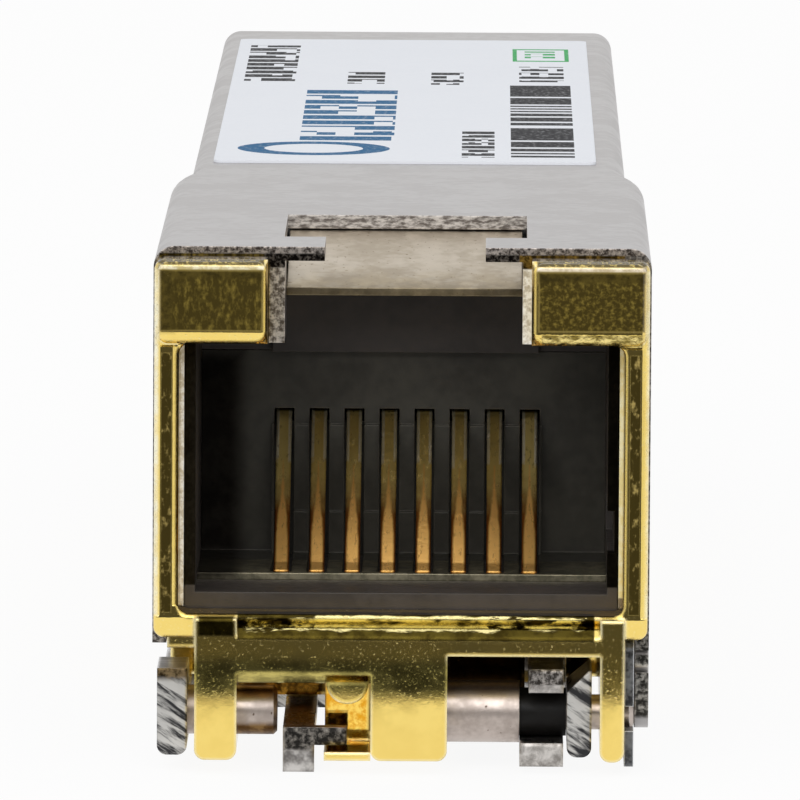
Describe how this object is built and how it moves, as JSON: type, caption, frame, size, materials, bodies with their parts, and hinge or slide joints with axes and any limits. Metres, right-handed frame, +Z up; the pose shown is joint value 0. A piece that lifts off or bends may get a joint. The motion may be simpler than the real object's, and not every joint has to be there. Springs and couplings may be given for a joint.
{
  "type": "pluggable copper transceiver",
  "caption": "Pluggable copper transceiver: modular jack in a gold-plated head, folded nickel cover, top label, and a release lever with a latch arm under the port.",
  "frame": {"origin": "middle of the bounding box's base; the lowest point is the latch arm's hook under the port", "axes": "+Y from the port to the edge connector, +Z up through the cover, +X to the right seen from the port"},
  "size_m": [0.0142, 0.068, 0.015],
  "materials": {
    "gold_plating": "polished gold plating on a die casting",
    "nickel_cover": "satin nickel plating on folded steel sheet, rough cut edges",
    "label_film": "printed white film",
    "shield_nickel": "nickel-plated thin sheet",
    "jack_plastic": "black moulded plastic",
    "comb_plastic": "black moulded plastic",
    "contact_gold": "gold-plated phosphor bronze",
    "board_green": "green solder mask on glass-epoxy board",
    "pad_gold": "gold-plated pads",
    "chip_black": "moulded epoxy",
    "can_steel": "pressed metal can",
    "magnetics_black": "moulded epoxy",
    "capacitor_tan": "fired ceramic",
    "pin_steel": "turned steel",
    "bushing_black": "black plastic",
    "clip_black": "black oxide spring steel",
    "lever_steel": "stamped steel with coarse sheared ends",
    "latch_steel": "stamped steel",
    "spring_steel": "drawn spring wire"
  },
  "bodies": {
    "module": {"base_casting": "gold_plating", "top_cover": "nickel_cover", "top_label": "label_film", "jack_shield": "shield_nickel", "jack_housing": "jack_plastic", "contact_carrier": "comb_plastic", "contact_1": "contact_gold", "contact_2": "contact_gold", "contact_3": "contact_gold", "contact_4": "contact_gold", "contact_5": "contact_gold", "contact_6": "contact_gold", "contact_7": "contact_gold", "contact_8": "contact_gold", "circuit_board": "board_green", "edge_pads_top": "pad_gold", "edge_pads_bottom": "pad_gold", "interface_chip": "chip_black", "memory_chip": "chip_black", "crystal_can": "can_steel", "magnetics_1": "magnetics_black", "magnetics_2": "magnetics_black", "capacitors": "capacitor_tan", "stub_pin": "pin_steel", "shoulder_pin": "pin_steel", "pivot_bushing": "bushing_black", "retaining_clip": "clip_black", "latch_spring": "spring_steel"},
    "lever": {"release_lever": "lever_steel"},
    "latch": {"latch_arm": "latch_steel"}
  },
  "joints": [
    {"name": "lever_swing", "type": "hinge", "parent": "module", "child": "lever", "pos_m": [0, -0.0322, 0.0016], "axis": [-1, 0, 0], "range_deg": [0, 90]},
    {"name": "latch_swing", "type": "hinge", "parent": "module", "child": "latch", "pos_m": [0, -0.0322, 0.0016], "axis": [1, 0, 0], "range_deg": [0, 1.62], "deforming": ["latch_spring"]}
  ],
  "couplings": [
    {"joint": "latch_swing", "follows": "lever_swing", "ratio": 0.018}
  ]
}
